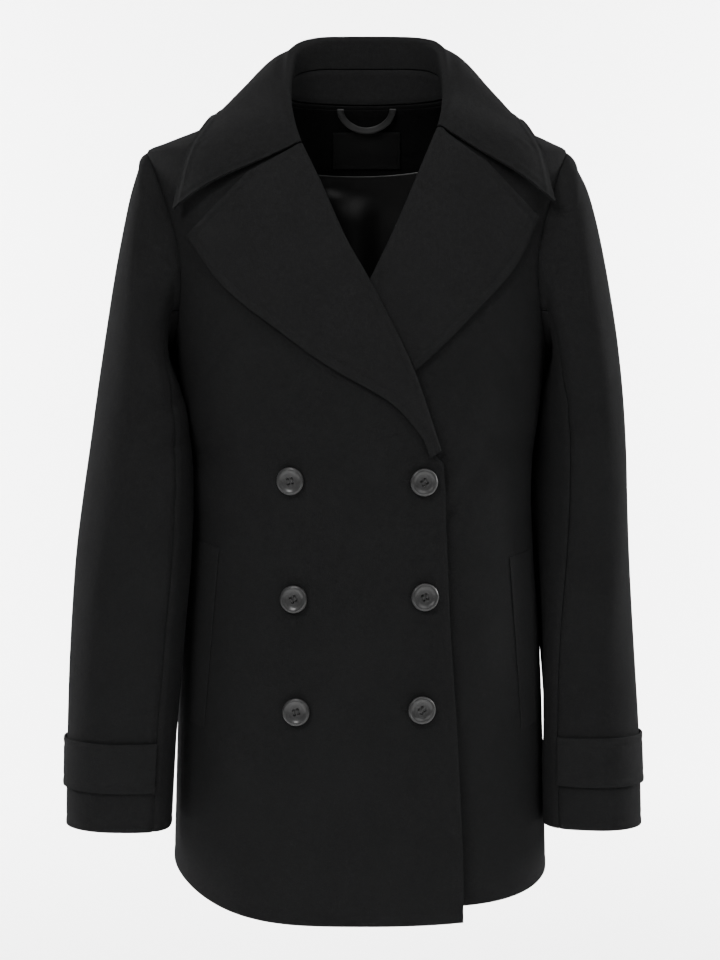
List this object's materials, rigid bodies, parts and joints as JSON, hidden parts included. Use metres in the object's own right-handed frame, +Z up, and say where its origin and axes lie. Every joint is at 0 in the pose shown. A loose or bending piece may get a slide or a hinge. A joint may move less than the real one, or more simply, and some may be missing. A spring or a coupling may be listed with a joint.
{
  "type": "double-breasted pea coat",
  "caption": "Hip-length double-breasted pea coat in black wool, hollow as worn, with broad lapels, turned-down collar, welt pockets, cuff straps and round buttons.",
  "frame": {"origin": "between the shoulders, where the wearer carries the coat", "axes": "+X to the wearer's left, +Y to the back, +Z up"},
  "size_m": [0.5456, 0.3115, 0.8213],
  "materials": {
    "melton": "matt felted wool melton",
    "facing_melton": "matt felted wool melton",
    "lining": "satin",
    "label": "woven, bare",
    "button": "polished imitation horn"
  },
  "bodies": {
    "root": {"front_right": "melton", "front_left": "melton", "back": "melton", "lapel_right": "facing_melton", "lapel_left": "facing_melton", "collar": "facing_melton", "collar_stand": "facing_melton", "back_neck_facing": "facing_melton", "back_lining": "lining", "neck_label": "label", "hanging_loop": "lining", "sleeve_upper_right": "melton", "sleeve_under_right": "melton", "cuff_strap_right": "facing_melton", "sleeve_upper_left": "melton", "sleeve_under_left": "melton", "cuff_strap_left": "facing_melton", "pocket_welt_right": "facing_melton", "pocket_welt_left": "facing_melton", "button_1": "button", "button_2": "button", "button_3": "button", "button_4": "button", "button_5": "button", "button_6": "button"}
  },
  "joints": []
}
